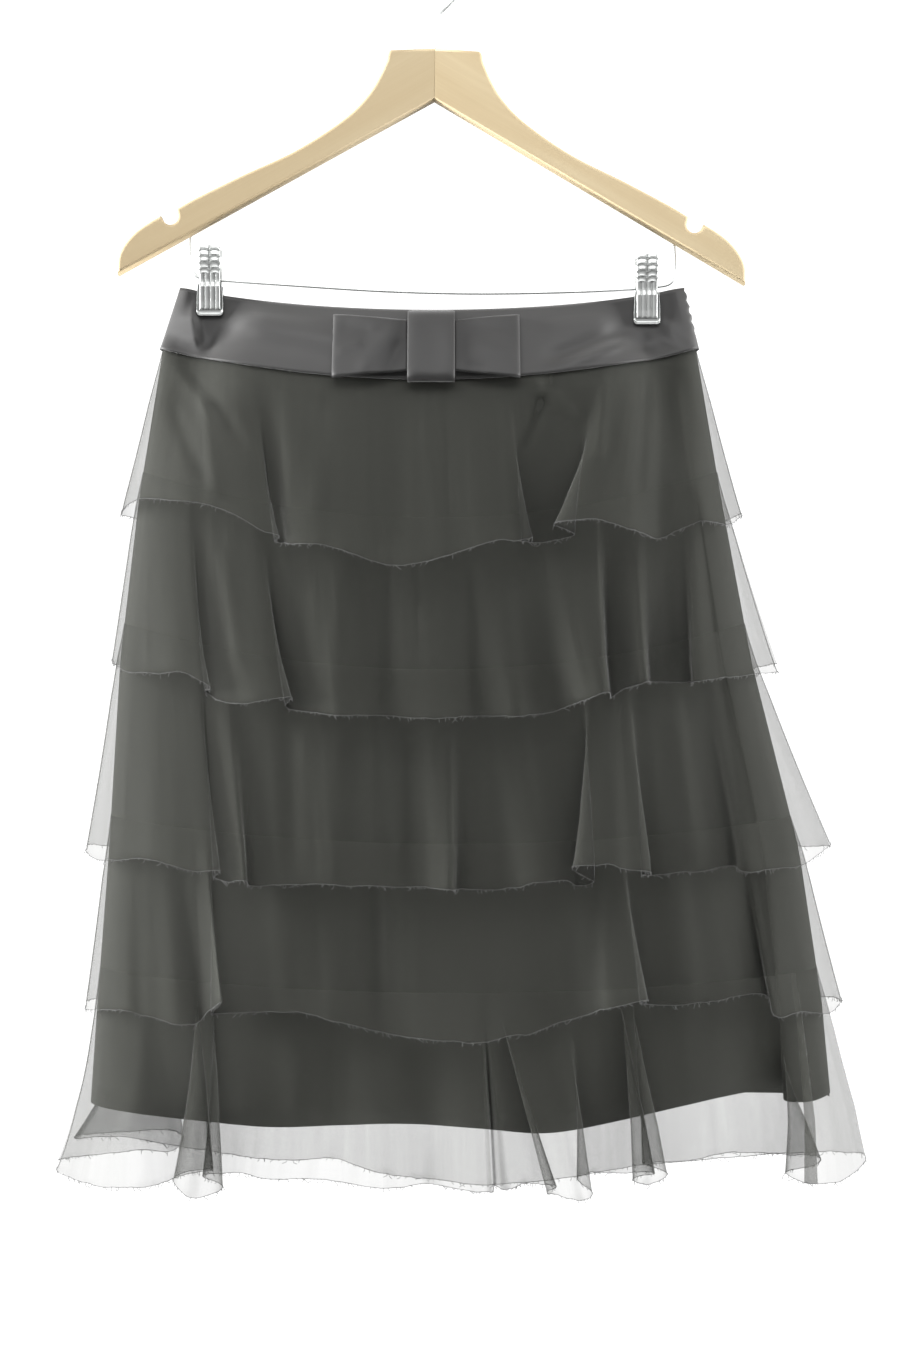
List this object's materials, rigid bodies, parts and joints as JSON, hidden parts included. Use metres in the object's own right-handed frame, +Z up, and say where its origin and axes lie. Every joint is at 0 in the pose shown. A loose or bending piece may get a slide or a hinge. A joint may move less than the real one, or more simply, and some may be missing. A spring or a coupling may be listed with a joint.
{
  "type": "tiered organza skirt on a clip hanger",
  "caption": "A-line skirt of overlapping sheer flounces over an opaque under-skirt, with a satin waistband and a flat bow, clipped to a wooden hanger with a wire hook.",
  "frame": {"origin": "top of the inside of the hanger's hook, where a rail carries it", "axes": "+X to the right seen from the front, +Y towards the skirt's back, +Z up; the skirt hangs down along -Z"},
  "size_m": [0.573, 0.145, 0.8938],
  "materials": {
    "organza": "sheer black organza, raw edged",
    "underskirt_cloth": "opaque black lining cloth, matt",
    "satin": "black satin with a soft sheen",
    "wood": "pale varnished wood",
    "steel": "plated steel wire and sheet, bright"
  },
  "bodies": {
    "root": {"underskirt_front": "underskirt_cloth", "underskirt_back": "underskirt_cloth", "flounce_1_front": "organza", "flounce_1_back": "organza", "flounce_2_front": "organza", "flounce_2_back": "organza", "flounce_3_front": "organza", "flounce_3_back": "organza", "flounce_4_front": "organza", "flounce_4_back": "organza", "flounce_5_front": "organza", "flounce_5_back": "organza", "waistband_front": "satin", "waistband_back": "satin", "bow_loop_left": "satin", "bow_loop_right": "satin", "bow_band": "satin", "hanger_arm_left": "wood", "hanger_arm_right": "wood", "clip_bar": "steel", "clip_left_front_jaw": "steel", "clip_left_back_jaw": "steel", "clip_left_spring": "steel", "clip_right_front_jaw": "steel", "clip_right_back_jaw": "steel", "clip_right_spring": "steel", "hanger_hook": "steel"}
  },
  "joints": []
}
